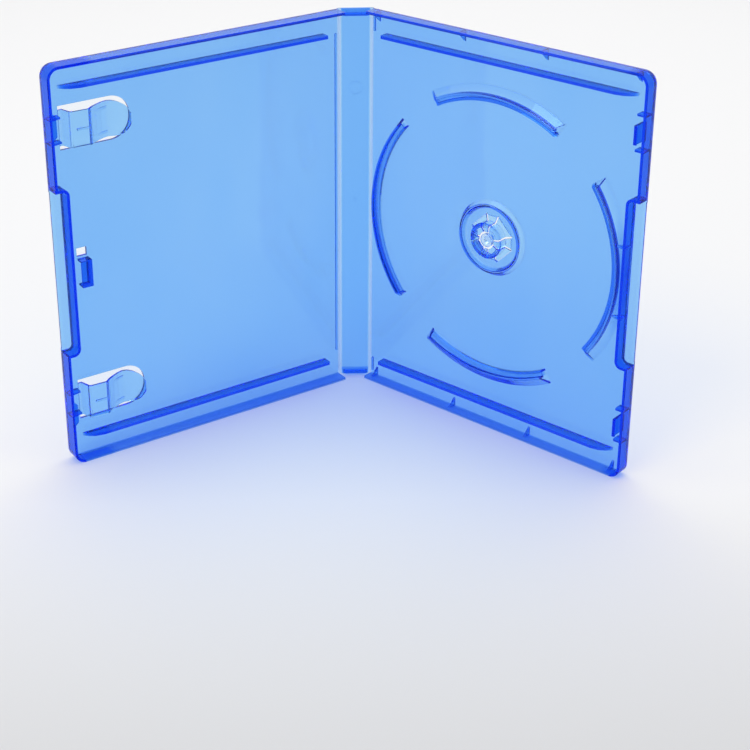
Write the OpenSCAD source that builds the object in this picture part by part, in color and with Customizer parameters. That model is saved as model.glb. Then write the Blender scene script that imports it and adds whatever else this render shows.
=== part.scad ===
// Open disc storage case: front cover, spine and rear cover joined by living hinges, with a film sleeve.
// Millimetres. Z is up, the spine is at the back (+Y), the front cover is at -X and the rear at +X.
// Each cover is drawn flat as seen from inside (X from its hinge, Y up, Z inward) and then placed.

/* [Case] */
// Height of the case standing on its bottom edge
case_height = 171; // [150:1:190]
// Width of a cover from its hinge line to its outer edge
cover_width = 136; // [130:1:160]
// Thickness of the closed case
case_thickness = 14; // [13:0.5:16]
// Thickness of the flat panels
panel_thickness = 1.2; // [1:0.1:1.6]
// Thickness of the rim walls
wall_thickness = 1.2; // [1:0.1:1.6]
// Depth of the front cover's rim from its outer face
front_rim_depth = 7.3; // [6.5:0.1:8]
// Gap left between the two rims when the case is closed
rim_gap = 0.4; // [0.3:0.1:1]
// Radius of the two outer corners of each cover
corner_radius = 5; // [3:0.5:8]
// Radius of the rounded edge round the outer face of each cover
edge_radius = 0.7; // [0.3:0.1:0.9]

/* [Rest pose] */
// Angle of the front cover from lying flat in line with the spine
front_open_angle = 31.7; // [5:0.1:80]
// Angle of the rear cover from lying flat in line with the spine
rear_open_angle = 42.8; // [5:0.1:80]

/* [Living hinges and spine] */
// Width of the thin web on each side of a fold line
hinge_half_width = 0.95; // [0.9:0.05:1.5]
// Thickness of the thin web
hinge_web_thickness = 0.45; // [0.3:0.05:0.6]
// Clearance between the spine's end walls and the closed covers
spine_clearance = 0.3; // [0.2:0.05:0.6]
// Thickness of the spine's end walls
spine_wall_thickness = 1.0; // [0.8:0.1:1.4]
// Depth of the spine's end walls from the outer face
spine_wall_depth = 3.8; // [2.5:0.1:6]
// Height of the low ribs beside the hinge lines
hinge_rib_height = 0.7; // [0.4:0.1:1.2]
// Distance of the moulded ring on the spine below the top edge
spine_ring_margin = 34.5; // [20:0.5:60]

/* [Long ribs] */
// Height of the long ribs above the panel
long_rib_height = 4.6; // [3:0.1:5]
// Thickness of the long ribs
long_rib_thickness = 1.3; // [1:0.1:2]
// Distance of the long ribs from the top and bottom edges
long_rib_inset = 9.2; // [7:0.1:12]
// Distance of the long ribs' blunt ends from the hinge line
long_rib_start = 8.8; // [7:0.1:14]
// Distance of the long ribs' sloped ends from the outer edge
long_rib_margin = 6.6; // [5:0.1:12]
// Length of the sloped end of a long rib
long_rib_slope = 8; // [4:0.5:12]

/* [Finger notches] */
// Length of the notch in both outer walls
notch_length = 70; // [50:1:80]
// Depth of the notch from the outer edge
notch_depth = 4.7; // [4.4:0.1:5.5]
// Inner corner radius of the notch
notch_corner = 1.8; // [1:0.1:3]
// Distance that the panel stands back from the outer edge inside the notch
notch_ledge_setback = 0.4; // [0:0.1:1]
// Thickness of the panel inside the notch
notch_ledge_thickness = 0.8; // [0.8:0.05:1.2]

/* [Booklet clips] */
// Distance of the upper clip's middle below the top edge
upper_clip_margin = 26.5; // [25:0.1:40]
// Height of the lower clip's middle above the bottom edge
lower_clip_height = 26.3; // [25:0.1:40]
// Width of a clip along the height of the case
clip_width = 14.6; // [13:0.1:18]
// Distance of a clip's root from the outer edge
clip_root_margin = 6.2; // [6:0.1:9]
// Length of the raised base plate of a clip with its ramp
clip_base_length = 11; // [9:0.5:13]
// Length of the rounded tongue of a clip
clip_tongue_length = 17.6; // [15:0.1:20]
// Height of the base plate's underside above the panel
clip_base_lift = 4.4; // [3.5:0.1:4.7]
// Height of the tongue's lowest underside above the outer face
clip_dip = 0.5; // [0.4:0.1:1]
// Rise of the tongue's tip above its lowest part
clip_tip_rise = 4.4; // [3:0.1:4.8]
// Thickness of a clip
clip_thickness = 0.9; // [0.7:0.1:1.2]
// Margin of the window in the panel round a clip
clip_window_margin = 1.7; // [1:0.1:2]
// Gap between a clip's root and the panel
clip_root_gap = 0.15; // [0.1:0.05:0.3]

/* [Latches] */
// Height of the latches above and below the middle of the case
latch_offset = 62; // [55:0.5:65]
// Length of a latch hook
hook_length = 7.5; // [5:0.5:9]
// Thickness of a latch hook
hook_thickness = 1.1; // [0.9:0.1:1.4]
// Reach of the hook's barb towards the wall
hook_barb = 0.55; // [0.3:0.05:0.7]
// Gap between a hook and the snap bump that it passes
hook_gap = 0.2; // [0.15:0.05:0.4]
// Inward reach of the snap bumps on the front cover's wall
bump_reach = 1.6; // [1.2:0.1:1.8]
// Length of a snap bump
bump_length = 10.5; // [9:0.5:12]
// Height of a snap bump below the rim's edge
bump_height = 0.65; // [0.5:0.05:0.9]

/* [Disc tray] */
// Distance of the disc's middle from the hinge line
disc_centre_distance = 65.4; // [64.5:0.1:67]
// Diameter of the disc that the tray holds
disc_diameter = 120; // [118:0.5:121]
// Radial clearance between the disc and the guide arcs
disc_clearance = 0.8; // [0.5:0.1:1.2]
// Height of the guide arcs' ridge above the panel
arc_ridge_height = 3.2; // [2.5:0.1:3.6]
// Height of the ledge inside the guide arcs above the panel
arc_ledge_height = 1.8; // [1:0.1:2]
// Width of the ledge inside the guide arcs
arc_ledge_width = 2.3; // [1.5:0.1:3]
// Width of the guide arcs' ridge
arc_ridge_width = 0.9; // [0.7:0.1:1.2]
// Width of the slope outside the ridge
arc_slope_width = 3.4; // [2:0.1:3.6]
// Height of the step at the foot of the slope above the panel
arc_foot_height = 0.4; // [0.2:0.1:0.6]
// Wall thickness of the arcs and the seat ring, which are hollow behind
core_wall = 1.0; // [0.9:0.05:1.2]
// Half angle covered by the top and bottom arcs
arc_half_angle_end = 30; // [20:1:34]
// Half angle covered by the arc beside the hinge
arc_half_angle_hinge = 41; // [30:1:45]
// Half angle covered by the arc beside the notch
arc_half_angle_notch = 37.5; // [30:0.5:40]

/* [Hub] */
// Outer radius of the disc seat ring at its top
seat_radius = 15; // [14.8:0.1:16]
// Height of the disc seat above the panel
seat_height = 2.2; // [2:0.1:2.6]
// Radius of the finger barrel that the disc's hole goes round
barrel_radius = 7.45; // [7.3:0.05:7.5]
// Outward reach of the fingers' lips past the barrel
lip_reach = 0.3; // [0.2:0.05:0.4]
// Height of the fingers' tops above the outer face of the panel
finger_height = 6.2; // [5.8:0.1:6.6]
// Width of the slits between the fingers
slit_width = 0.85; // [0.8:0.05:1]
// Half angle of the four narrow fingers
narrow_half_angle = 15.5; // [14:0.5:18]
// Distance of the fingers' roots from the middle
finger_root = 9.7; // [9.4:0.1:10]
// Gap between a finger's root and the panel
finger_root_gap = 0.15; // [0.1:0.05:0.2]
// Radius of the release button
button_radius = 2.95; // [2.5:0.05:3]
// Radial gap round the release button
button_gap = 0.85; // [0.8:0.05:1]
// Height of the button's top above the outer face of the panel
button_height = 5.1; // [4.8:0.1:5.3]

/* [Film sleeve] */
// Thickness of the film sleeve
film_thickness = 0.12; // [0.1:0.02:0.2]
// Gap between the film and the covers
film_gap = 0.03; // [0.02:0.01:0.1]
// Distance of the film's edges from the case's edges
film_margin = 1; // [0.5:0.1:3]

/* [Hidden] */
fine = 96;
half = case_thickness / 2;
rear_rim_depth = case_thickness - front_rim_depth - rim_gap;
bevel = panel_thickness - hinge_web_thickness;
body_start = hinge_half_width + bevel;
mid_height = case_height / 2;
notch_low = mid_height - notch_length / 2;
notch_high = mid_height + notch_length / 2;
upper_clip_height = case_height - upper_clip_margin;
clip_root = cover_width - clip_root_margin;
clip_fold = clip_root - clip_base_length;
clip_tip = clip_fold - clip_tongue_length;
wall_inner = cover_width - wall_thickness;
spine_wall_clear = wall_thickness + spine_wall_thickness + 2 * spine_clearance;
bump_inner = wall_inner - bump_reach;
hook_outer = bump_inner - hook_gap;
hook_top = case_thickness - front_rim_depth + bump_height + 0.1 + 0.55;
arc_inner = disc_diameter / 2 + disc_clearance;
seat_top = panel_thickness + seat_height;
finger_tip = button_radius + button_gap;
// Plan offsets that bring the middle of the whole object's footprint to the origin
reach_front = half + cover_width * cos(front_open_angle);
reach_rear = half + cover_width * cos(rear_open_angle);
depth_front = cover_width * sin(front_open_angle) + front_rim_depth * cos(front_open_angle);
depth_rear = cover_width * sin(rear_open_angle) + rear_rim_depth * cos(rear_open_angle);
shift_x = (reach_front - reach_rear) / 2;
shift_y = (max(depth_front, depth_rear) - film_gap - film_thickness) / 2;
plastic = [0.42, 0.66, 0.98, 0.62];
plastic_pale = [0.62, 0.79, 0.99, 0.62];

// Stands a shape that is drawn flat upright, turned to the front cover's rest angle
module place_front() {
  translate([shift_x - half, shift_y, 0]) rotate([0, 0, front_open_angle]) mirror([1, 0, 0])
    rotate([90, 0, 0]) children();
}

// Stands a shape that is drawn flat upright, turned to the rear cover's rest angle
module place_rear() {
  translate([shift_x + half, shift_y, 0]) rotate([0, 0, -rear_open_angle]) rotate([90, 0, 0]) children();
}

// Extrudes a section given as distance from the hinge and depth, from one height to another
module along_height(low, high) {
  translate([0, high, 0]) rotate([90, 0, 0]) linear_extrude(high - low) children();
}

// Extrudes a section given as height and depth, across a thickness centred on a distance from the hinge
module across_width(at, thickness) {
  translate([at - thickness / 2, 0, 0]) rotate([90, 0, 90]) linear_extrude(thickness) children();
}

// Outline of a cover with its two outer corners rounded, inset from the edges by a distance
module cover_outline(inset) {
  r = corner_radius;
  start = hinge_half_width;
  translate([start, inset]) square([cover_width - r - start, case_height - 2 * inset]);
  translate([start, r]) square([cover_width - inset - start, case_height - 2 * r]);
  for (y = [r, case_height - r]) translate([cover_width - r, y]) circle(r = r - inset, $fn = fine);
}

// Plan of the finger notch, grown by a distance and rounded at its inner corners
module notch_outline(grow) {
  r = notch_corner + grow;
  inner = cover_width - notch_depth - grow;
  translate([inner + r, notch_low - grow]) square([notch_depth + 6, notch_length + 2 * grow]);
  translate([inner, notch_low - grow + r]) square([notch_depth + 6, notch_length + 2 * grow - 2 * r]);
  for (y = [notch_low - grow + r, notch_high + grow - r])
    translate([inner + r, y]) circle(r = r, $fn = 48);
}

// Section of what rounding an edge takes away, with the edge at the origin and the solid at +X and +Y
module edge_waste() {
  r = edge_radius;
  difference() {
    translate([-1, -1]) square([1 + r, 1 + r]);
    translate([r, r]) circle(r = r, $fn = 48);
  }
}

// What rounding the three free edges of a cover's outer face takes away
module rounded_edges() {
  r = corner_radius;
  for (side = [0, 1]) translate([0, side * case_height, 0]) mirror([0, side, 0]) {
    translate([-1, 0, 0]) rotate([90, 0, 90]) linear_extrude(cover_width - r + 1) edge_waste();
    translate([cover_width - r, r, 0]) rotate([0, 0, -90]) rotate_extrude(angle = 90, $fn = fine)
      translate([r, 0]) mirror([1, 0]) edge_waste();
  }
  along_height(r, case_height - r) translate([cover_width, 0]) mirror([1, 0]) edge_waste();
}

// Panel with its rim, cut back and bevelled along the hinge
module cover_shell(rim_depth) {
  difference() {
    union() {
      difference() {
        linear_extrude(panel_thickness) difference() {
          cover_outline(0);
          translate([cover_width - notch_ledge_setback, notch_low + 1])
            square([notch_ledge_setback + 1, notch_length - 2]);
        }
        translate([0, 0, notch_ledge_thickness]) linear_extrude(panel_thickness) notch_outline(0);
      }
      linear_extrude(rim_depth) difference() {
        cover_outline(0);
        notch_outline(0);
        difference() {
          translate([-1, 0]) square([cover_width + 2, case_height]);
          difference() {
            cover_outline(0);
            notch_outline(0);
          }
        }
        difference() {
          cover_outline(wall_thickness);
          notch_outline(wall_thickness);
        }
      }
    }
    along_height(-1, case_height + 1) polygon([[-1, hinge_web_thickness],
      [hinge_half_width, hinge_web_thickness], [body_start, panel_thickness],
      [body_start, rim_depth + 1], [-1, rim_depth + 1]]);
    rounded_edges();
  }
}

// Two long ribs with sloped outer ends
module long_ribs() {
  top = panel_thickness + long_rib_height;
  finish = cover_width - long_rib_margin;
  for (low = [long_rib_inset, case_height - long_rib_inset - long_rib_thickness])
    along_height(low, low + long_rib_thickness) polygon([[long_rib_start, panel_thickness - 0.4],
      [long_rib_start, top - 0.5], [long_rib_start + 0.5, top], [finish - long_rib_slope, top],
      [finish - long_rib_slope * 0.55, top - long_rib_height * 0.18],
      [finish - long_rib_slope * 0.25, top - long_rib_height * 0.5], [finish, panel_thickness + 0.1],
      [finish, panel_thickness - 0.4]]);
}

// Triangular gusset standing on the panel against the bottom or the top wall
module rim_gusset(at, rim_depth, reach) {
  base = panel_thickness - 0.4;
  low = wall_thickness - 0.3;
  high = case_height - wall_thickness + 0.3;
  across_width(at, 0.9) polygon([[low, base], [low, rim_depth - 0.9], [low + reach, panel_thickness],
    [low + reach, base]]);
  across_width(at, 0.9) polygon([[high, base], [high - reach, base], [high - reach, panel_thickness],
    [high, rim_depth - 0.9]]);
}

// Low rib beside the hinge line, between two heights
module hinge_rib(low, high) {
  translate([body_start + 0.5, low, panel_thickness - 0.3])
    cube([0.8, high - low, hinge_rib_height + 0.3]);
}

// Window in the front panel under a clip, open from the clip's root to past its tip
module clip_window(middle) {
  m = clip_window_margin;
  w = clip_width / 2 + m;
  r = clip_width / 2 + m - 0.4;
  translate([0, middle, -1]) linear_extrude(panel_thickness + 2) {
    translate([clip_tip + r, -w]) square([clip_root + clip_root_gap - clip_tip - r, 2 * w]);
    translate([clip_tip - m, -w + r]) square([r + m + 1, 2 * (w - r)]);
    for (y = [-w + r, w - r]) translate([clip_tip + r - m, y]) circle(r = r, $fn = 48);
    translate([clip_tip + r - m, -w]) square([m + 1, 2 * w]);
  }
}

// Points of a line moved sideways by a distance, to the left of the way along it
function beside(line, t) = let (
    last = len(line) - 1,
    ways = [for (i = [0:last - 1]) (line[i + 1] - line[i]) / norm(line[i + 1] - line[i])],
    sides = [for (d = ways) [-d[1], d[0]]])
  [for (i = [0:last]) let (a = sides[max(i - 1, 0)], b = sides[min(i, last - 1)])
    line[i] + t * (a + b) / (1 + a * b)];

// Springy booklet clip: steep ramp, raised base plate, and a round tongue that dips into the window
// and rises again to its tip
module booklet_clip(middle) {
  p = panel_thickness;
  w = clip_width / 2;
  base = p + clip_base_lift + clip_thickness;
  low = clip_dip + clip_thickness;
  drop = base - low;
  rise = clip_tip_rise;
  reach = clip_tongue_length;
  upper = [[clip_root, p], [clip_root - 1.3, p], [clip_root - 2.5, base - 1.3],
    [clip_root - 3.4, base - 0.35], [clip_fold + 0.3, base], [clip_fold - 0.4, base - 0.35],
    [clip_fold - 0.11 * reach, low + 0.66 * drop], [clip_fold - 0.25 * reach, low + 0.37 * drop],
    [clip_fold - 0.4 * reach, low + 0.12 * drop], [clip_fold - 0.53 * reach, low],
    [clip_fold - 0.62 * reach, low + 0.1 * rise], [clip_fold - 0.72 * reach, low + 0.38 * rise],
    [clip_fold - 0.84 * reach, low + 0.72 * rise], [clip_tip, low + rise]];
  lower = beside(upper, clip_thickness);
  last = len(upper) - 1;
  color(plastic) place_front() translate([0, middle, 0]) {
    intersection() {
      along_height(-w, w) polygon(concat(upper, [for (i = [0:last]) lower[last - i]]));
      translate([0, 0, -1]) linear_extrude(base + 3) {
        translate([clip_tip + w - 0.4, -w - 1]) square([clip_root - clip_tip, 2 * w + 2]);
        intersection() {
          translate([clip_tip + w - 0.4, 0]) circle(r = w, $fn = fine);
          translate([clip_tip - 0.2, -w]) square([w + 0.2, 2 * w]);
        }
      }
    }
    translate([clip_fold + 0.5, -0.4, base - 0.3]) cube([5.4, 0.8, 0.6]);
    for (y = [-5, 5]) along_height(y - 0.4, y + 0.4) polygon([upper[7] + [0, -0.4], upper[7] + [0, 0.1],
      upper[8] + [1, 0.7], upper[8] + [0, 0.4], upper[9] + [0, 0.3], upper[9] + [-0.3, -0.3],
      upper[8] + [0, -0.4]]);
  }
}

// Small gussets that brace the wall beside a clip
module clip_gussets(middle) {
  for (y = [-4.8, 5.2]) translate([0, middle + y, 0]) along_height(-0.4, 0.4)
    polygon([[clip_root + 0.6, panel_thickness - 0.3], [clip_root + 0.6, panel_thickness + 3.2],
      [wall_inner + 0.3, panel_thickness + 4.1], [wall_inner + 0.3, panel_thickness - 0.3]]);
}

// Snap bump under the edge of the front cover's outer wall
module snap_bump(middle) {
  top = front_rim_depth;
  difference() {
    translate([0, middle, 0]) along_height(-bump_length / 2, bump_length / 2)
      polygon([[wall_inner + 0.3, top], [bump_inner + 0.4, top], [bump_inner, top - 0.3],
        [bump_inner, top - bump_height], [wall_inner + 0.3, top - bump_height - 0.1]]);
    for (s = [-1, 1]) translate([bump_inner, middle + s * bump_length / 2, top - bump_height - 1])
      rotate([0, 0, 45]) translate([-1, -1, 0]) cube([2, 2, bump_height + 2]);
  }
}

// Latch hook that stands on the rear panel beside the outer wall, with a rib at each side
module latch_hook(middle) {
  inner = hook_outer - hook_thickness;
  translate([0, middle, 0]) {
    along_height(-hook_length / 2, hook_length / 2) polygon([[inner, panel_thickness - 0.4],
      [inner, hook_top - 0.5], [inner + 0.4, hook_top], [hook_outer, hook_top],
      [hook_outer + hook_barb, hook_top - 0.35], [hook_outer + hook_barb, hook_top - 0.55],
      [hook_outer, hook_top - 0.65], [hook_outer, panel_thickness - 0.4]]);
    for (y = [-hook_length / 2 - 3.6, hook_length / 2 + 3]) translate([0, y, 0]) along_height(0, 0.8)
      polygon([[inner - 0.6, panel_thickness - 0.4], [inner - 0.6, rear_rim_depth - 1.4],
        [inner - 0.2, rear_rim_depth - 1], [wall_inner + 0.3, rear_rim_depth - 1],
        [wall_inner + 0.3, panel_thickness - 0.4]]);
  }
}

// Centre catch of the front cover: a small hooked tab beside the notch wall, over its own window
module centre_catch() {
  right = cover_width - notch_depth - wall_thickness - 2.6;
  translate([right - 6, mid_height - 8.2, panel_thickness - 0.4]) cube([1, 11.6, 4.2]);
  translate([right - 6, mid_height - 8.2, panel_thickness + 2.9]) cube([4.6, 11.6, 0.9]);
  for (y = [-8.2, 2.6]) translate([right - 6, mid_height + y, panel_thickness - 0.4])
    cube([4.6, 0.8, 3.6]);
}

// Window above the centre catch
module catch_window() {
  right = cover_width - notch_depth - wall_thickness - 2.6;
  translate([right - 5.6, mid_height + 4.2, -1]) cube([4.4, 3.6, panel_thickness + 2]);
}

// What slopes the two ends of a guide arc or of its hollow, at a depth inside the arc's skin
module arc_ends(middle, half_angle, depth) {
  for (s = [-1, 1]) rotate([0, 0, middle + s * half_angle]) mirror([0, s > 0 ? 1 : 0, 0])
    translate([arc_inner - 8, 0, panel_thickness]) rotate([55, 0, 0])
      translate([0, -14, -depth]) cube([18, 28, 12]);
}

// Guide arc of the tray between two angles, with sloped ends
module guide_arc(middle, half_angle, slope_width) {
  p = panel_thickness;
  r = arc_inner;
  outer = r + arc_ridge_width;
  difference() {
    rotate([0, 0, middle - half_angle]) rotate_extrude(angle = 2 * half_angle, $fn = 180)
      polygon([[r - arc_ledge_width, p - 0.4], [r - arc_ledge_width, p + arc_ledge_height - 0.3],
        [r - arc_ledge_width + 0.4, p + arc_ledge_height], [r, p + arc_ledge_height],
        [r + 0.1, p + arc_ridge_height], [outer, p + arc_ridge_height],
        [outer + slope_width, p + arc_foot_height], [outer + slope_width, p - 0.4]]);
    arc_ends(middle, half_angle, 0);
  }
}

// Hollow behind a guide arc, which leaves its walls about as thick as the panel
module arc_core(middle, half_angle, slope_width) {
  p = panel_thickness;
  t = core_wall;
  h = arc_ridge_height;
  s = slope_width;
  slant = sqrt(s * s + h * h);
  low = arc_inner - arc_ledge_width + t;
  top = p + arc_ledge_height - t;
  // Distance from the middle of the slope's underside at a depth
  function under(n) = arc_inner + arc_ridge_width - t * h / slant + (p + h - t * s / slant - n) * s / h;
  step = arc_inner + t;
  step_top = top + (under(top) - step) * h / s;
  ridge = under(top) > step + 0.2 ? [[step, top], [step, step_top]] : [[under(top), top]];
  difference() {
    rotate([0, 0, middle - half_angle]) rotate_extrude(angle = 2 * half_angle, $fn = 180)
      polygon(concat([[low, -1], [low, top - 0.3], [low + 0.3, top]], ridge,
        [[under(0), 0], [under(0), -1]]));
    arc_ends(middle, half_angle, t);
  }
}

// Hollow behind the seat ring
module seat_core() {
  t = core_wall;
  rotate_extrude($fn = fine) polygon([[seat_radius - 2.2 + 0.5 * t, -1], [seat_radius - 2.2 + 0.5 * t, 0],
    [seat_radius - 0.5, seat_top - t], [seat_radius - 0.3, seat_top - t],
    [seat_radius + 2.2 - t, 0], [seat_radius + 2.2 - t, -1]]);
}

// Straight-sided sector that one finger fills, with its root cut square at a distance
module finger_sector(half_angle, side_gap, root) {
  apex = side_gap / sin(half_angle);
  polygon([[apex, 0], [root, -(root - apex) * tan(half_angle)], [root, (root - apex) * tan(half_angle)]]);
}

// Hole in the tray that the eight fingers stand in
module hub_opening() {
  for (i = [0:3]) {
    rotate([0, 0, 90 * i]) finger_sector(narrow_half_angle + 0.01, 0, finger_root + finger_root_gap);
    rotate([0, 0, 90 * i + 45])
      finger_sector(45 - narrow_half_angle + 0.01, 0, finger_root - 0.5 + finger_root_gap);
  }
}

// One springy finger: root plate, barrel wall with a lip, and a funnel down to the button
module hub_finger(index) {
  wide = index % 2 == 0;
  half_angle = wide ? 45 - narrow_half_angle : narrow_half_angle;
  root = wide ? finger_root - 0.5 : finger_root;
  b = barrel_radius;
  top = finger_height;
  color(plastic) place_rear() translate([disc_centre_distance, mid_height, 0])
    rotate([0, 0, 45 * (index - 1)]) intersection() {
      rotate_extrude($fn = 96) polygon([[b - 0.45, 1.2], [finger_root + 2, 0.4],
        [finger_root + 2, panel_thickness], [b + 0.3, panel_thickness + 0.3],
        [b, panel_thickness + 0.7], [b, top - 1.7], [b + lip_reach, top - 1.2],
        [b + lip_reach, top - 0.8], [b - 0.3, top - 0.1], [b - 1.1, top],
        [finger_tip, button_height + 0.1], [finger_tip, button_height - 0.7],
        [b - 1.5, top - 0.9], [b - 0.9, top - 1.4]]);
      translate([0, 0, -1]) linear_extrude(finger_height + 2)
        finger_sector(half_angle, slit_width / 2, root);
    }
}

// Flat plate of the spine with bevelled hinge edges and set-back end walls
module spine() {
  e = half - hinge_half_width;
  inner = half - panel_thickness - spine_clearance;
  set_back = wall_thickness + spine_clearance;
  color(plastic) translate([shift_x, shift_y, 0]) {
    linear_extrude(case_height) polygon([[-e, 0], [-e, -hinge_web_thickness],
      [-e + bevel, -panel_thickness], [e - bevel, -panel_thickness], [e, -hinge_web_thickness], [e, 0]]);
    for (z = [set_back, case_height - set_back - spine_wall_thickness])
      translate([0, 0, z]) linear_extrude(spine_wall_thickness)
        polygon([[-inner + bevel, -panel_thickness + 0.2], [-inner + 0.1, -panel_thickness - 0.9],
          [-inner + 0.1, -spine_wall_depth + 0.8], [-inner + 0.9, -spine_wall_depth],
          [inner - 0.9, -spine_wall_depth], [inner - 0.1, -spine_wall_depth + 0.8],
          [inner - 0.1, -panel_thickness - 0.9], [inner - bevel, -panel_thickness + 0.2]]);
    translate([0, 0, case_height - spine_ring_margin]) rotate([90, 0, 0]) difference() {
      cylinder(r = 3, h = panel_thickness + 0.15, $fn = 48);
      translate([0, 0, panel_thickness - 0.1]) cylinder(r = 2.5, h = 1, $fn = 48);
      translate([0, 0, -1]) cylinder(r = 2.5, h = 1 + panel_thickness - 0.3, $fn = 48);
    }
    translate([0, 0, mid_height]) rotate([90, 0, 0]) cylinder(r = 0.8, h = panel_thickness + 0.2, $fn = 24);
  }
}

// Front cover with ribs, snap bumps, clip windows and the centre catch
module front_cover() {
  color(plastic) place_front() difference() {
    union() {
      cover_shell(front_rim_depth);
      long_ribs();
      hinge_rib(long_rib_inset + 4, case_height - long_rib_inset - 1);
      for (s = [-1, 1]) snap_bump(mid_height + s * latch_offset);
      clip_gussets(upper_clip_height);
      clip_gussets(lower_clip_height);
      centre_catch();
    }
    clip_window(upper_clip_height);
    clip_window(lower_clip_height);
    catch_window();
  }
}

// Rear cover with the disc tray: ribs, gussets, guide arcs, seat ring and latch hooks
module rear_cover() {
  c = disc_centre_distance;
  p = panel_thickness;
  color(plastic) place_rear() {
    difference() {
      union() {
        cover_shell(rear_rim_depth);
        long_ribs();
        hinge_rib(spine_wall_clear, long_rib_inset);
        hinge_rib(case_height - long_rib_inset, case_height - spine_wall_clear);
        for (u = [spine_wall_depth + 1.4, 0.36 * cover_width, 0.65 * cover_width, cover_width - 6])
          rim_gusset(u, rear_rim_depth, 4);
        for (s = [-1, 1]) latch_hook(mid_height + s * latch_offset);
        for (y = [-16, 14]) translate([0, mid_height + y, 0]) along_height(0, 0.8)
          polygon([[cover_width - notch_depth - wall_thickness - 5.5, p - 0.4],
            [cover_width - notch_depth - wall_thickness - 5.5, p + 0.8],
            [cover_width - notch_depth - wall_thickness - 3.5, rear_rim_depth - 2.2],
            [cover_width - notch_depth - wall_thickness + 0.3, rear_rim_depth - 1.5],
            [cover_width - notch_depth - wall_thickness + 0.3, p - 0.4]]);
        translate([c, mid_height, 0]) {
          intersection() {
            union() {
              guide_arc(90, arc_half_angle_end, arc_slope_width);
              guide_arc(270, arc_half_angle_end, arc_slope_width);
              guide_arc(180, arc_half_angle_hinge, 1.2);
              guide_arc(0, arc_half_angle_notch, arc_slope_width);
            }
            translate([body_start + 0.4 - c, -case_height, 0])
              cube([cover_width - notch_depth - wall_thickness / 2 - body_start - 0.4, 2 * case_height, 20]);
          }
          rotate_extrude($fn = fine) polygon([[seat_radius - 2.2, p - 0.4], [seat_radius - 2.2, p],
            [seat_radius - 1.1, seat_top], [seat_radius, seat_top], [seat_radius + 1.5, p],
            [seat_radius + 1.5, p - 0.4]]);
        }
      }
      translate([c, mid_height, -1]) linear_extrude(8) hub_opening();
      translate([c, mid_height, 0]) {
        seat_core();
        arc_core(90, arc_half_angle_end, arc_slope_width);
        arc_core(270, arc_half_angle_end, arc_slope_width);
        arc_core(180, arc_half_angle_hinge, 1.2);
        intersection() {
          arc_core(0, arc_half_angle_notch, arc_slope_width);
          translate([0, -case_height, -2])
            cube([cover_width - notch_depth - wall_thickness - core_wall - c, 2 * case_height, 10]);
        }
      }
    }
  }
}

// Thin web of a living hinge, folded at a cover's rest angle; side is -1 at the front cover
module hinge_web(side, angle) {
  w = hinge_half_width;
  t = hinge_web_thickness;
  color(plastic_pale) translate([shift_x + side * half, shift_y, 0]) linear_extrude(case_height)
    polygon([[0, 0], [side * w * cos(angle), -w * sin(angle)],
      [side * (w * cos(angle) - t * sin(angle)), -w * sin(angle) - t * cos(angle)],
      [-side * t * tan(angle / 2), -t], [-side * w, -t], [-side * w, 0]]);
}

module front_hinge_web() { hinge_web(-1, front_open_angle); }

module rear_hinge_web() { hinge_web(1, rear_open_angle); }

// Clear film wrapped round the outer faces of the covers and the spine
module clear_sleeve() {
  a = film_gap;
  b = film_gap + film_thickness;
  u = cover_width - film_margin;
  function left(n) = [-half - u * cos(front_open_angle) - n * sin(front_open_angle),
    -u * sin(front_open_angle) + n * cos(front_open_angle)];
  function right(n) = [half + u * cos(rear_open_angle) + n * sin(rear_open_angle),
    -u * sin(rear_open_angle) + n * cos(rear_open_angle)];
  color([0.9, 0.94, 1, 0.25]) translate([shift_x, shift_y, film_margin])
    linear_extrude(case_height - 2 * film_margin) polygon([left(a),
      [-half - a * tan(front_open_angle / 2), a], [half + a * tan(rear_open_angle / 2), a], right(a),
      right(b), [half + b * tan(rear_open_angle / 2), b], [-half - b * tan(front_open_angle / 2), b],
      left(b)]);
}

module upper_booklet_clip() { booklet_clip(upper_clip_height); }

module lower_booklet_clip() { booklet_clip(lower_clip_height); }

// Release button in the middle of the hub, slightly dished
module hub_button() {
  color(plastic_pale) place_rear() translate([disc_centre_distance, mid_height, 0])
    rotate_extrude($fn = 64) polygon([[0, 1.3], [1.6, 1.3], [1.8, button_height - 1.4],
      [button_radius - 0.2, button_height - 1.4], [button_radius, button_height - 1.2],
      [button_radius, button_height - 0.2], [button_radius - 0.2, button_height],
      [button_radius - 0.7, button_height - 0.05], [0, button_height - 0.25]]);
}

module hub_finger_1() { hub_finger(1); }
module hub_finger_2() { hub_finger(2); }
module hub_finger_3() { hub_finger(3); }
module hub_finger_4() { hub_finger(4); }
module hub_finger_5() { hub_finger(5); }
module hub_finger_6() { hub_finger(6); }
module hub_finger_7() { hub_finger(7); }
module hub_finger_8() { hub_finger(8); }

spine();
front_cover();
rear_cover();
front_hinge_web();
rear_hinge_web();
clear_sleeve();
upper_booklet_clip();
lower_booklet_clip();
hub_button();
hub_finger_1();
hub_finger_2();
hub_finger_3();
hub_finger_4();
hub_finger_5();
hub_finger_6();
hub_finger_7();
hub_finger_8();
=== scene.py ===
"""Looks of an open disc storage case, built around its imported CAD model.

The CAD nodes carry the moulded shapes. This script gives them their tinted clear
plastic, adds the folding hinge strips and the film sleeve, and sets up a plain
studio. Lengths are in metres, Z is up and the spine is at the back.
"""

import logging
import math
from dataclasses import dataclass
from enum import Enum
from typing import Any

import bpy
from mathutils import Matrix, Vector


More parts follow.
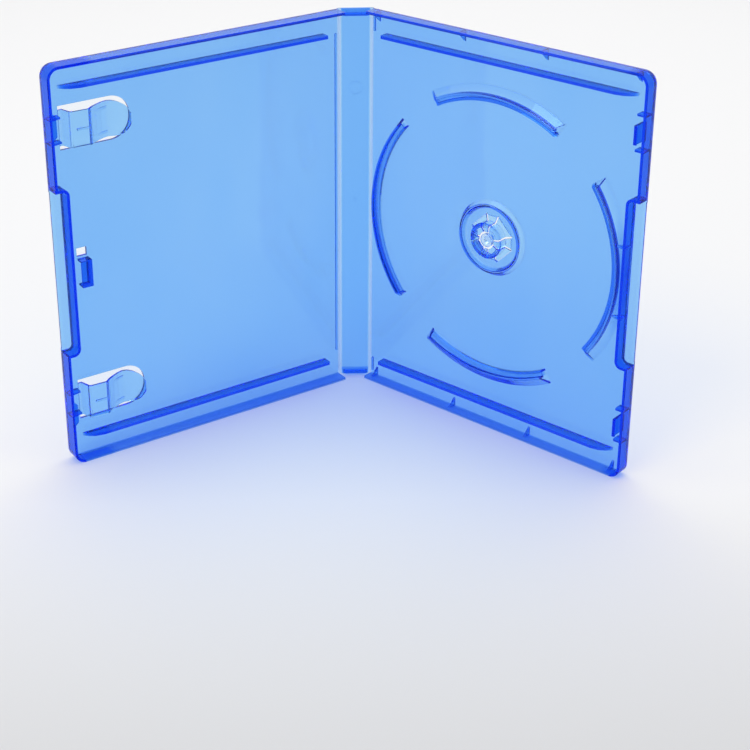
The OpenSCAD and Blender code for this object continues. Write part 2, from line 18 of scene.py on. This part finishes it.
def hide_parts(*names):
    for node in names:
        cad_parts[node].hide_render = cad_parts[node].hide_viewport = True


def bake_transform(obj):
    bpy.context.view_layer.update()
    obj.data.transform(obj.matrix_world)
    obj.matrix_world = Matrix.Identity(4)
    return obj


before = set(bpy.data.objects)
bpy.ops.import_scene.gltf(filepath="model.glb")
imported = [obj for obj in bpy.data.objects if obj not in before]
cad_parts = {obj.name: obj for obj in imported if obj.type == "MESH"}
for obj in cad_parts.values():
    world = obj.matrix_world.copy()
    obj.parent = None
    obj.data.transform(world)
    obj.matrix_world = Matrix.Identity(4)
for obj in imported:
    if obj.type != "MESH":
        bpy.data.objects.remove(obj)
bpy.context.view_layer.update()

LOG = logging.getLogger("disc_case")
MM = 0.001
Colour = tuple[float, float, float]
Point = tuple[float, float, float]


class Body(str, Enum):
    """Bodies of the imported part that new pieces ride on."""

    SPINE = "spine"
    FRONT = "front_cover"
    REAR = "rear_cover"


class Slot(str, Enum):
    """Material slots of the record."""

    BLUE = "blue_plastic"
    PALE = "pale_hinge_plastic"
    FILM = "clear_film"


class Wire:
    """A shader socket with arithmetic, each operator adding one Math node."""

    def __init__(self, bench: "Bench", socket: bpy.types.NodeSocket) -> None:
        """Keeps the bench that the socket's node stands on."""
        self.bench = bench
        self.socket = socket

    def _math(self, operation: str, a: Any, b: Any) -> "Wire":
        """Adds one Math node.

        Args:
            operation: Blender's name of the operation.
            a: First operand, a wire or a number.
            b: Second operand, a wire or a number.

        Returns:
            The node's value as a wire.
        """
        return self.bench.add("ShaderNodeMath", {"operation": operation}, {0: a, 1: b})

    def __add__(self, other: Any) -> "Wire":
        """Sum."""
        return self._math("ADD", self, other)

    __radd__ = __add__

    def __mul__(self, other: Any) -> "Wire":
        """Product."""
        return self._math("MULTIPLY", self, other)

    __rmul__ = __mul__

    def __sub__(self, other: Any) -> "Wire":
        """Difference."""
        return self._math("SUBTRACT", self, other)

    def __rsub__(self, other: Any) -> "Wire":
        """Difference with the wire on the right."""
        return self._math("SUBTRACT", other, self)

    def power(self, exponent: float) -> "Wire":
        """Power of the value."""
        return self._math("POWER", self, exponent)

    def size(self) -> "Wire":
        """The value without its sign."""
        return self._math("ABSOLUTE", self, 0.0)

    def larger(self, other: Any) -> "Wire":
        """The larger of two values."""
        return self._math("MAXIMUM", self, other)


class Bench:
    """The node tree of one material or world, with helpers that add nodes."""

    def __init__(self, owner: Any) -> None:
        """Clears the owner's node tree and takes it over.

        Args:
            owner: A material or a world.
        """
        owner.use_nodes = True
        self.tree = owner.node_tree
        self.tree.nodes.clear()

    def add(self, kind: str, settings: dict[str, Any] | None = None,
            values: dict[Any, Any] | None = None, out: int | str = 0) -> Wire:
        """Adds any node.

        Args:
            kind: Blender's type of the node.
            settings: Properties of the node, set first.
            values: Socket name or number to a value or a wire.
            out: Which output to return.

        Returns:
            The chosen output as a wire.
        """
        node = self.tree.nodes.new(kind)
        for key, value in (settings or {}).items():
            setattr(node, key, value)
        for key, value in (values or {}).items():
            if isinstance(value, Wire):
                self.tree.links.new(value.socket, node.inputs[key])
            else:
                node.inputs[key].default_value = value
        return Wire(self, node.outputs[out])

    def place(self, scale: Point = (1, 1, 1)) -> Wire:
        """Object coordinates, stretched by a scale along each axis."""
        where = self.add("ShaderNodeTexCoord", out="Object")
        return self.add("ShaderNodeMapping", {}, {"Vector": where, "Scale": scale})

    def noise(self, size: float, detail: float = 3.0, rough: float = 0.5,
              stretch: Point = (1, 1, 1)) -> Wire:
        """Soft noise whose features are about a size across.

        Args:
            size: Size of the features in metres.
            detail: Octaves of finer noise.
            rough: Strength of the finer octaves.
            stretch: Scale of the coordinates along each axis.

        Returns:
            Noise from 0 to 1.
        """
        values = {"Vector": self.place(stretch), "Scale": 1 / size, "Detail": detail,
                  "Roughness": rough}
        return self.add("ShaderNodeTexNoise", {"noise_dimensions": "3D"}, values)

    def spread(self, value: Wire, low: float, high: float, start: float = 0.0,
               end: float = 1.0) -> Wire:
        """Maps a value from one range to another, clamped at both ends.

        Args:
            value: The value to map.
            low: Value that gives the start, which may be the larger one.
            high: Value that gives the end.
            start: Result at the low value.
            end: Result at the high value.

        Returns:
            The mapped value.
        """
        limits = {"Value": value, "From Min": low, "From Max": high, "To Min": start,
                  "To Max": end}
        return self.add("ShaderNodeMapRange", {"clamp": True}, limits)

    def let_lamps_through(self, shell: Wire, pane: Colour) -> Wire:
        """Lets light reach what is behind a clear shell, straight and tinted by its inside.

        Args:
            shell: The shader that the camera and reflections meet.
            pane: Share of light that one face lets through.

        Returns:
            The mixed shader.
        """
        clear = self.add("ShaderNodeBsdfTransparent", {}, {"Color": (*pane, 1)})
        for kind in ("Is Diffuse Ray", "Is Shadow Ray"):
            path = self.add("ShaderNodeLightPath", out=kind)
            shell = self.add("ShaderNodeMixShader", {}, {0: path, 1: shell, 2: clear})
        return shell

    def blend(self, share: Wire, first: Colour, second: Colour) -> Wire:
        """Mixes two colours by a share.

        Args:
            share: Share of the second colour.
            first: Colour at a share of zero.
            second: Colour at a share of one.

        Returns:
            The mixed colour as a wire.
        """
        return self.add("ShaderNodeMix", {"data_type": "RGBA"},
                        {0: share, 6: (*first, 1), 7: (*second, 1)}, out=2)

    def along(self, way: Vector, start: Vector) -> Wire:
        """Distance of the shaded point from a start, in Object coordinates.

        Args:
            way: Unit vector along which the distance is measured.
            start: Point at which the distance is zero.

        Returns:
            The signed distance in metres.
        """
        where = self.add("ShaderNodeTexCoord", out="Object")
        whole = self.add("ShaderNodeVectorMath", {"operation": "DOT_PRODUCT"},
                         {0: where, 1: tuple(way)}, out=1)
        return whole - way.dot(start)


@dataclass
class Fold:
    """One of the two fold lines between the spine and a cover."""

    side: int
    cover: Body
    angle: float
    half_spine: float = 7 * MM
    shift: tuple[float, float] = (7.9615 * MM, 48.4383 * MM)

    def line(self) -> Vector:
        """Foot of the fold line on the floor, at the outer faces."""
        return Vector((self.shift[0] + self.side * self.half_spine, self.shift[1], 0))

    def out(self) -> Vector:
        """Direction from the fold line along the cover to its outer edge."""
        return Vector((self.side * math.cos(self.angle), -math.sin(self.angle), 0))

    def inward(self) -> Vector:
        """Direction from the outer face of the cover inwards."""
        return Vector((-self.side * math.sin(self.angle), -math.cos(self.angle), 0))

    def point(self, along: float, depth: float) -> Vector:
        """A point on the folded sheet.

        Args:
            along: Way from the fold line, positive on the cover.
            depth: Way from the outer face inwards, negative for outside.

        Returns:
            The point at the foot of the case.
        """
        if along <= 0:
            bend = depth * math.tan(self.angle / 2) if along > -1e-9 else 0.0
            return self.line() + Vector((self.side * (along - bend), -depth, 0))
        return self.line() + self.out() * along + self.inward() * depth

    def wrap(self, made: bpy.types.Object) -> None:
        """Folds a flat sheet along the line.

        Args:
            made: Sheet whose X is the way from the fold line and whose Y is minus the depth.
        """
        for vertex in made.data.vertices:
            x, y, z = vertex.co
            vertex.co = self.point(x, -y) + Vector((0, 0, z))
        bpy.ops.object.mode_set(mode="EDIT")
        bpy.ops.mesh.select_all(action="SELECT")
        bpy.ops.mesh.normals_make_consistent(inside=False)
        bpy.ops.object.mode_set(mode="OBJECT")


@dataclass(frozen=True)
class ReliefShade:
    """Painted shade on the sides, ribs and steps that stand up from a panel, found in Object
    coordinates.
    """

    fold: Fold
    wall_from: float
    wall_fade: float = 6 * MM
    middle: float = 85.5 * MM
    long_ribs: float = 74 * MM
    rib_fade: float = 1 * MM
    long_rims: float = 82 * MM
    rim_fade: float = 0.6 * MM
    # Shares of painted shade on the ribs, rims and rings.
    rib_shade: float = 0.6
    rim_shade: float = 0.3
    ring_shade: float = 0.8
    ring_fade: float = 0.15 * MM
    from_depth: float = 1.25 * MM
    depth_fade: float = 0.95 * MM
    hub: float = 65.4 * MM
    rings: tuple[tuple[float, float], ...] = ()

    def share(self, bench: Bench) -> Wire:
        """Share of the painted shade at the shaded point: the raised parts get a darker blue
        that stands in for the shade seen through the plastic there.

        Args:
            bench: The node tree that the share is worked out on.

        Returns:
            Zero on the panel and up to one on the raised sides, where the painted shade is full.
        """
        foot = self.fold.line()
        out = bench.along(self.fold.out(), foot)
        up = bench.along(Vector((0, 0, 1)), Vector((0, 0, self.middle)))
        depth = bench.along(self.fold.inward(), foot)
        most = bench.spread(out, self.wall_from, self.wall_from + self.wall_fade)
        ribs = bench.spread(up.size(), self.long_ribs, self.long_ribs + self.rib_fade,
                            0.0, self.rib_shade)
        rims = bench.spread(up.size(), self.long_rims, self.long_rims + self.rim_fade,
                            0.0, self.rim_shade - self.rib_shade)
        most = most.larger(ribs + rims)
        for inner, outer in self.rings:
            way = out - self.hub
            radius = (way * way + up * up).power(0.5)
            off = (radius - (inner + outer) / 2).size()
            half = (outer - inner) / 2
            ring = bench.spread(off, half + self.ring_fade, half, 0.0, self.ring_shade)
            most = most.larger(ring)
        return most * bench.spread(depth, self.from_depth, self.from_depth + self.depth_fade)


@dataclass(frozen=True)
class TintedPlastic:
    """Clear moulded polypropylene whose colour deepens with the way through it."""

    name: str = "tinted_clear_plastic"
    palest: Colour = (0.64, 0.91, 1.0)
    deepest: Colour = (0.57, 0.87, 1.0)
    # Painted shade: darker blues for the raised parts.
    wall_shade: Colour = (0.15, 0.43, 0.95)
    deep_wall_shade: Colour = (0.11, 0.38, 0.93)
    pane: Colour = (0.90, 0.98, 1.0)
    absorb: Colour = (680.0, 360.0, 5.0)
    transmission: float = 0.96
    relief_shade: ReliefShade | None = None
    glint: Colour = (0.35, 0.6, 1.0)
    smooth: float = 0.035
    scuffed: float = 0.11
    ripple: float = 0.00002
    index: float = 1.45
    shaded_copy_index: float = 1.2
    flow_size: float = 45 * MM
    haze_size: float = 12 * MM
    sink_size: float = 9 * MM
    grain_size: float = 0.7 * MM
    grain_share: float = 0.05
    relief_strength: float = 0.35

    def material(self) -> bpy.types.Material:
        """Builds the material: tint, flow marks, handling haze, mould ripple and painted shade
        on the raised parts.

        Returns:
            The finished material.
        """
        made = bpy.data.materials.new(self.name)
        bench = Bench(made)
        flow = bench.noise(self.flow_size, 2.0, 0.5, (1, 1, 0.45))
        haze = bench.spread(bench.noise(self.haze_size, 5.0, 0.62), 0.52, 0.78)
        grain = bench.noise(self.grain_size, 2.0)
        sink = bench.noise(self.sink_size, 1.0, 0.4, (1, 1, 0.7))
        flow = bench.spread(flow, 0.3, 0.7)
        rough = haze * (self.scuffed - self.smooth) + self.smooth
        bump = bench.add("ShaderNodeBump", {}, {
            "Strength": self.relief_strength, "Distance": self.ripple,
            "Height": sink + grain * self.grain_share})
        shared = {"Roughness": rough, "Specular Tint": (*self.glint, 1),
                  "Transmission Weight": self.transmission, "Normal": bump}
        colour = bench.blend(flow, self.palest, self.deepest)
        shell = bench.add("ShaderNodeBsdfPrincipled", {}, {
            "Base Color": colour, "IOR": self.index, **shared})
        # Painted shade: the raised parts get a darker blue copy of the plastic with a lower
        # index, so they reflect less and look shaded.
        if self.relief_shade is not None:
            shade_colour = bench.blend(flow, self.wall_shade, self.deep_wall_shade)
            shaded_copy = bench.add("ShaderNodeBsdfPrincipled", {}, {
                "Base Color": shade_colour, "IOR": self.shaded_copy_index, **shared})
            share = self.relief_shade.share(bench)
            shell = bench.add("ShaderNodeMixShader", {}, {0: share, 1: shell, 2: shaded_copy})
        # Absorption is density times what the colour lacks, so it stays just below one.
        density = 1.05 * max(self.absorb)
        kept = tuple(1 - part / density for part in self.absorb)
        inside = bench.add("ShaderNodeVolumeAbsorption", {}, {
            "Color": (*kept, 1), "Density": density})
        finish_tree(bench, bench.let_lamps_through(shell, self.pane), inside)
        return made


def finish_tree(bench: Bench, surface: Wire, inside: Wire | None = None) -> None:
    """Joins the shaders of a material to its output.

    Args:
        bench: The material's node tree.
        surface: Surface shader.
        inside: Volume shader, if the solid absorbs light.
    """
    out = bench.tree.nodes.new("ShaderNodeOutputMaterial")
    bench.tree.links.new(surface.socket, out.inputs["Surface"])
    if inside is not None:
        bench.tree.links.new(inside.socket, out.inputs["Volume"])


@dataclass(frozen=True)
class ClearFilm:
    """Clear glossy film with soft waves and a little dust haze."""

    name: str = "clear_glossy_film"
    through: Colour = (0.97, 0.985, 1.0)
    least_gloss: float = 0.025
    slant_gloss: float = 0.6
    wave_size: float = 30 * MM
    wave_depth: float = 0.2 * MM
    dust_size: float = 4 * MM
    dusty: Colour = (0.82, 0.88, 0.96)
    clean: Colour = (0.9, 0.94, 1.0)

    def material(self) -> bpy.types.Material:
        """Builds the material: see-through sheet whose gloss grows at a slant.

        Returns:
            The finished material.
        """
        made = bpy.data.materials.new(self.name)
        bench = Bench(made)
        wave = bench.noise(self.wave_size, 1.0, 0.4, (1, 1, 0.35))
        fine = bench.noise(self.dust_size, 3.0)
        bump = bench.add("ShaderNodeBump", {}, {"Strength": 0.25, "Distance": self.wave_depth,
                                                "Height": wave + fine * 0.04})
        clear = bench.add("ShaderNodeBsdfTransparent", {}, {"Color": (*self.through, 1)})
        gloss = bench.add("ShaderNodeBsdfPrincipled", {}, {
            "Base Color": bench.blend(fine, self.dusty, self.clean), "Metallic": 1.0,
            "Roughness": bench.spread(fine, 0.3, 0.7, 0.04, 0.12), "Normal": bump})
        facing = bench.add("ShaderNodeLayerWeight", {}, {"Blend": 0.5, "Normal": bump},
                           out="Facing")
        share = facing.power(5.0) * self.slant_gloss + self.least_gloss
        sheet = bench.add("ShaderNodeMixShader", {}, {0: share, 1: clear, 2: gloss})
        finish_tree(bench, sheet)
        return made


@dataclass(frozen=True)
class PaleFloor:
    """Matt pale studio paper with painted shade, darker in a band just in front of the case and
    pale again far off.
    """

    name: str = "pale_floor"
    # Painted shade: the darker colour in front of the case stands in for the fall of lamp light.
    shaded_front: Colour = (0.655, 0.655, 0.66)
    far: Colour = (0.855, 0.855, 0.86)
    front_shade_fade: tuple[float, float] = (-0.23, -0.06)
    shade_fade_out: tuple[float, float] = (-0.35, -1.3)
    tooth_size: float = 2 * MM
    tooth_depth: float = 0.1 * MM

    def material(self) -> bpy.types.Material:
        """Builds the material: a slow change of painted shade and a very fine tooth.

        Returns:
            The finished material.
        """
        made = bpy.data.materials.new(self.name)
        bench = Bench(made)
        parts = bench.tree.nodes.new("ShaderNodeSeparateXYZ")
        where = bench.add("ShaderNodeTexCoord", out="Object")
        bench.tree.links.new(where.socket, parts.inputs[0])
        level = Wire(bench, parts.outputs["Y"])
        # Painted shade, strongest in front of the case and fading out far off.
        depth = bench.spread(level, *self.front_shade_fade)
        depth = depth.larger(bench.spread(level, *self.shade_fade_out, 0.0, 0.9))
        tooth = bench.noise(self.tooth_size, 4.0)
        colour = bench.blend(depth, self.shaded_front, self.far)
        bump = bench.add("ShaderNodeBump", {}, {"Strength": 0.05, "Distance": self.tooth_depth,
                                                "Height": tooth})
        sheet = bench.add("ShaderNodeBsdfPrincipled", {}, {
            "Base Color": colour, "Roughness": 0.75, "Specular IOR Level": 0.2,
            "Normal": bump})
        finish_tree(bench, sheet)
        return made


class Hand:
    """The few modelling moves that the pieces share, all made with operators."""

    @staticmethod
    def sheet(name: str, width: float, height: float) -> bpy.types.Object:
        """Adds an upright sheet from x = 0 to width and z = 0 to height, at y = 0.

        Args:
            name: Name of the new object.
            width: Extent along X.
            height: Extent along Z.

        Returns:
            The object, active and alone selected, its place in its mesh.
        """
        bpy.ops.object.select_all(action="DESELECT")
        bpy.ops.mesh.primitive_plane_add(size=1, rotation=(math.pi / 2, 0, 0))
        made = bpy.context.active_object
        made.name = made.data.name = name
        made.scale = (width, height, 1)
        made.location = (width / 2, 0, height / 2)
        bpy.ops.object.transform_apply(location=True, rotation=True, scale=True)
        return made

    @staticmethod
    def cut(made: bpy.types.Object, places: list[float], axis: int = 0) -> None:
        """Cuts a mesh across by planes square to an axis.

        Args:
            made: The object to cut.
            places: Where each plane stands on the axis.
            axis: 0 for X, 1 for Y and 2 for Z.
        """
        normal = [0.0, 0.0, 0.0]
        normal[axis] = 1.0
        bpy.ops.object.mode_set(mode="EDIT")
        for place in places:
            point = [0.0, 0.0, 0.0]
            point[axis] = place
            bpy.ops.mesh.select_all(action="SELECT")
            bpy.ops.mesh.bisect(plane_co=point, plane_no=normal)
        bpy.ops.object.mode_set(mode="OBJECT")

    @staticmethod
    def apply(made: bpy.types.Object, kind: str, settings: dict[str, Any]) -> None:
        """Adds a modifier and applies it at once.

        Args:
            made: The object to change.
            kind: Blender's type of the modifier.
            settings: Properties of the modifier.
        """
        bpy.context.view_layer.objects.active = made
        modifier = made.modifiers.new(kind.lower(), kind)
        for key, value in settings.items():
            setattr(modifier, key, value)
        bpy.ops.object.modifier_apply(modifier=modifier.name)

    @staticmethod
    def settle(made: bpy.types.Object, turn: Matrix) -> None:
        """Puts a turn and a move into the mesh, so that the object stays at the origin."""
        made.data.transform(turn)
        made.data.update()


@dataclass
class HingeStrip:
    """Thin web between the spine and a cover, with a coined groove on its inner face."""

    name: str
    fold: Fold
    node: str
    height: float = 171 * MM
    half_width: float = 0.95 * MM
    thickness: float = 0.45 * MM
    groove: float = 0.12 * MM
    groove_width: float = 0.6
    ease: float = 0.004 * MM
    steps: int = 4

    def build(self, finish: bpy.types.Material) -> bpy.types.Object:
        """Models the strip and hangs it between its two bodies.

        Args:
            finish: Material of the strip.

        Returns:
            The finished piece.
        """
        w = self.half_width - self.ease
        made = Hand.sheet(self.name, 2 * w, self.height)
        Hand.settle(made, Matrix.Translation((-w, 0, 0)))
        Hand.cut(made, [w * (k / self.steps) for k in range(1 - self.steps, self.steps)])
        Hand.apply(made, "SOLIDIFY", {"thickness": self.thickness, "offset": 1.0})
        for vertex in made.data.vertices:
            if vertex.co.y < -self.thickness / 2:
                share = max(0.0, 1 - abs(vertex.co.x) / (self.groove_width * w))
                vertex.co.y += self.groove * share * share
        self.fold.wrap(made)
        made.data.materials.append(finish)
        start, end = self.fold.point(w, 0), self.fold.point(-w, 0)
        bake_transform(made)
        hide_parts(self.node)
        return made


@dataclass
class FilmSleeve:
    """Clear film wrapped round the outer faces, in two halves that meet on the spine."""

    folds: tuple[Fold, Fold]
    width: float = 135 * MM
    height: float = 169 * MM
    foot: float = 1 * MM
    gap: float = 0.03 * MM
    thickness: float = 0.12 * MM
    half_web: float = 0.95 * MM
    fold_cuts: tuple[float, ...] = (-0.9 * MM, -0.45 * MM, 0.0, 0.45 * MM, 0.9 * MM)
    fields: int = 8

    def build(self, finish: bpy.types.Material) -> list[bpy.types.Object]:
        """Models both halves.

        Args:
            finish: Material of the film.

        Returns:
            The two finished pieces.
        """
        return [self._half(fold, finish) for fold in self.folds]

    def _half(self, fold: Fold, finish: bpy.types.Material) -> bpy.types.Object:
        """Models the half that covers one fold line and one cover.

        Args:
            fold: The fold line that the half crosses.
            finish: Material of the film.

        Returns:
            The finished piece.
        """
        back = fold.half_spine
        made = Hand.sheet(f"sleeve_{fold.cover.value}", back + self.width, self.height)
        Hand.settle(made, Matrix.Translation((-back, 0, self.foot)))
        steps = range(1, self.fields)
        across = [self.width * k / self.fields for k in steps]
        Hand.cut(made, [*self.fold_cuts, *across])
        Hand.cut(made, [self.foot + self.height * k / self.fields for k in steps], axis=2)
        Hand.apply(made, "SOLIDIFY", {"thickness": self.thickness, "offset": -1.0})
        Hand.settle(made, Matrix.Translation((0, self.gap, 0)))
        fold.wrap(made)
        made.data.materials.append(finish)
        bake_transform(made)
        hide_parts("clear_sleeve")
        return made


@dataclass
class Moulding:
    """CAD nodes that keep their shape and share one finish."""

    nodes: tuple[str, ...]
    finish: TintedPlastic

    def dress(self) -> None:
        """Gives every node the finish."""
        made = self.finish.material()
        for name in self.nodes:
            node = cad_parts[name]
            node.data.materials.clear()
            node.data.materials.append(made)
            LOG.info("dressed %s with %s", name, made.name)


@dataclass
class Studio:
    """Plain pale floor, soft lamps, an even world and the camera."""

    reach: float = 5.0
    sensor: float = 36.0
    focal_px: float = 1683.6
    frame_px: float = 750.0
    centre_px: tuple[float, float] = (301.0, 268.0)
    stand: Point = (-22.6 * MM, -632.4 * MM, 361.0 * MM)
    yaw: float = math.radians(0.55)
    pitch: float = math.radians(24.36)
    roll: float = math.radians(-0.73)
    world_light: float = 0.55
    world_seen: float = 0.89

    def floor(self) -> bpy.types.Object:
        """Lays the floor.

        Returns:
            The floor's object.
        """
        bpy.ops.object.select_all(action="DESELECT")
        bpy.ops.mesh.primitive_circle_add(vertices=96, radius=self.reach, fill_type="NGON")
        made = bpy.context.active_object
        made.name = "studio_floor"
        made.data.materials.append(PaleFloor().material())
        return made

    def lamp(self, name: str, place: Point, aim: Point, size: float, power: float) -> None:
        """Hangs one square soft lamp.

        Args:
            name: Name of the lamp.
            place: Where it hangs.
            aim: The point it faces.
            size: Side of the square in metres.
            power: Power in watts.
        """
        bpy.ops.object.light_add(type="AREA", location=place)
        made = bpy.context.active_object
        made.name = name
        made.data.shape = "SQUARE"
        made.data.size = size
        made.data.energy = power
        way = Vector(aim) - Vector(place)
        made.rotation_euler = way.to_track_quat("-Z", "Y").to_euler()

    def world(self) -> None:
        """Fills the surroundings with an even pale light."""
        made = bpy.data.worlds.new("pale_surroundings")
        bpy.context.scene.world = made
        bench = Bench(made)
        seen = bench.add("ShaderNodeLightPath", out="Is Camera Ray")
        for kind in ("Is Glossy Ray", "Is Transmission Ray"):
            seen = seen.larger(bench.add("ShaderNodeLightPath", out=kind))
        light = bench.add("ShaderNodeBackground", {}, {"Strength": self.world_light,
                                                       "Color": (1.0, 1.0, 1.0, 1)})
        back = bench.add("ShaderNodeBackground", {}, {"Strength": 1.0,
                                                      "Color": (*(self.world_seen,) * 3, 1)})
        mixed = bench.add("ShaderNodeMixShader", {}, {0: seen, 1: light, 2: back})
        out = bench.tree.nodes.new("ShaderNodeOutputWorld")
        bench.tree.links.new(mixed.socket, out.inputs["Surface"])

    def camera(self) -> None:
        """Sets up the camera at the photograph's place and angle."""
        bpy.ops.object.camera_add()
        made = bpy.context.active_object
        made.name = "photo_camera"
        ahead = Vector((math.sin(self.yaw) * math.cos(self.pitch),
                        math.cos(self.yaw) * math.cos(self.pitch), -math.sin(self.pitch)))
        level = Vector((math.cos(self.yaw), -math.sin(self.yaw), 0))
        above = level.cross(ahead)
        c, s = math.cos(self.roll), math.sin(self.roll)
        right, up = c * level + s * above, -s * level + c * above
        turn = Matrix((right, up, -ahead)).transposed().to_4x4()
        made.matrix_world = Matrix.Translation(self.stand) @ turn
        made.data.sensor_width = self.sensor
        made.data.lens = self.focal_px * self.sensor / self.frame_px
        made.data.shift_x = (self.frame_px / 2 - self.centre_px[0]) / self.frame_px
        made.data.shift_y = (self.centre_px[1] - self.frame_px / 2) / self.frame_px
        made.data.clip_start = 0.01
        made.data.clip_end = 50.0
        bpy.context.scene.camera = made

    def long_paths(self) -> None:
        """Lets light travel far enough inside the clear plastic that no edge turns black."""
        cycles = bpy.context.scene.cycles
        cycles.max_bounces = 32
        cycles.glossy_bounces = 24
        cycles.transmission_bounces = 32
        cycles.transparent_max_bounces = 24

    def build(self) -> None:
        """Sets up the whole studio."""
        self.long_paths()
        self.floor()
        self.world()
        self.lamp("softbox_above", place=(0.1, 0.55, 1.5), aim=(0.0, 0.0, 0.05),
                  size=1.6, power=15.0)
        self.lamp("softbox_front", place=(-0.66, -0.77, 1.35), aim=(0.06, 0.0, 0.12),
                  size=0.6, power=5.0)
        self.camera()
        view = bpy.context.scene.view_settings
        view.view_transform = "Standard"


def main() -> None:
    """Builds the studio and every piece, and logs each one."""
    logging.basicConfig(level=logging.INFO, format="%(name)s: %(message)s")
    Studio().build()
    front = Fold(-1, Body.FRONT, math.radians(31.7))
    rear = Fold(1, Body.REAR, math.radians(42.8))
    flat = Fold(1, Body.SPINE, 0.0)  # the spine's own plane, from the rear fold line
    seat_ring, guide_arcs = (12.6 * MM, 14.1 * MM), (58.2 * MM, 61.0 * MM)
    pale = TintedPlastic(name="pale_hinge_plastic", palest=(0.70, 0.88, 1.0),
                         deepest=(0.64, 0.84, 1.0), transmission=0.85).material()
    film = ClearFilm().material()
    mouldings = (
        Moulding(("front_cover",), TintedPlastic(
            "front_cover_plastic", relief_shade=ReliefShade(front, wall_from=114 * MM))),
        Moulding(("rear_cover",), TintedPlastic(
            "rear_cover_plastic", relief_shade=ReliefShade(
                rear, wall_from=124 * MM, rings=(seat_ring, guide_arcs)))),
        # The spine's rims get painted shade too.
        Moulding(("spine",), TintedPlastic(
            "spine_plastic", palest=(0.50, 0.82, 1.0), deepest=(0.44, 0.78, 1.0),
            relief_shade=ReliefShade(flat, wall_from=1.0, rib_shade=0.0, rim_shade=0.85,
                          from_depth=-1.0 * MM))),
        Moulding(("upper_booklet_clip", "lower_booklet_clip"), TintedPlastic("clip_plastic")),
        Moulding(tuple(f"hub_finger_{k}" for k in range(1, 9)), TintedPlastic("finger_plastic")),
        Moulding(("hub_button",), TintedPlastic(
            "button_plastic", palest=(0.72, 0.88, 1.0), deepest=(0.66, 0.84, 1.0),
            absorb=(110.0, 60.0, 4.0))))
    for moulding in mouldings:
        moulding.dress()
    for name, fold in (("front_hinge_strip", front), ("rear_hinge_strip", rear)):
        node = name.replace("strip", "web")
        LOG.info("built %s", HingeStrip(name, fold, node).build(pale).name)
    for half in FilmSleeve((front, rear)).build(film):
        LOG.info("built %s", half.name)


if __name__ == "__main__":
    main()
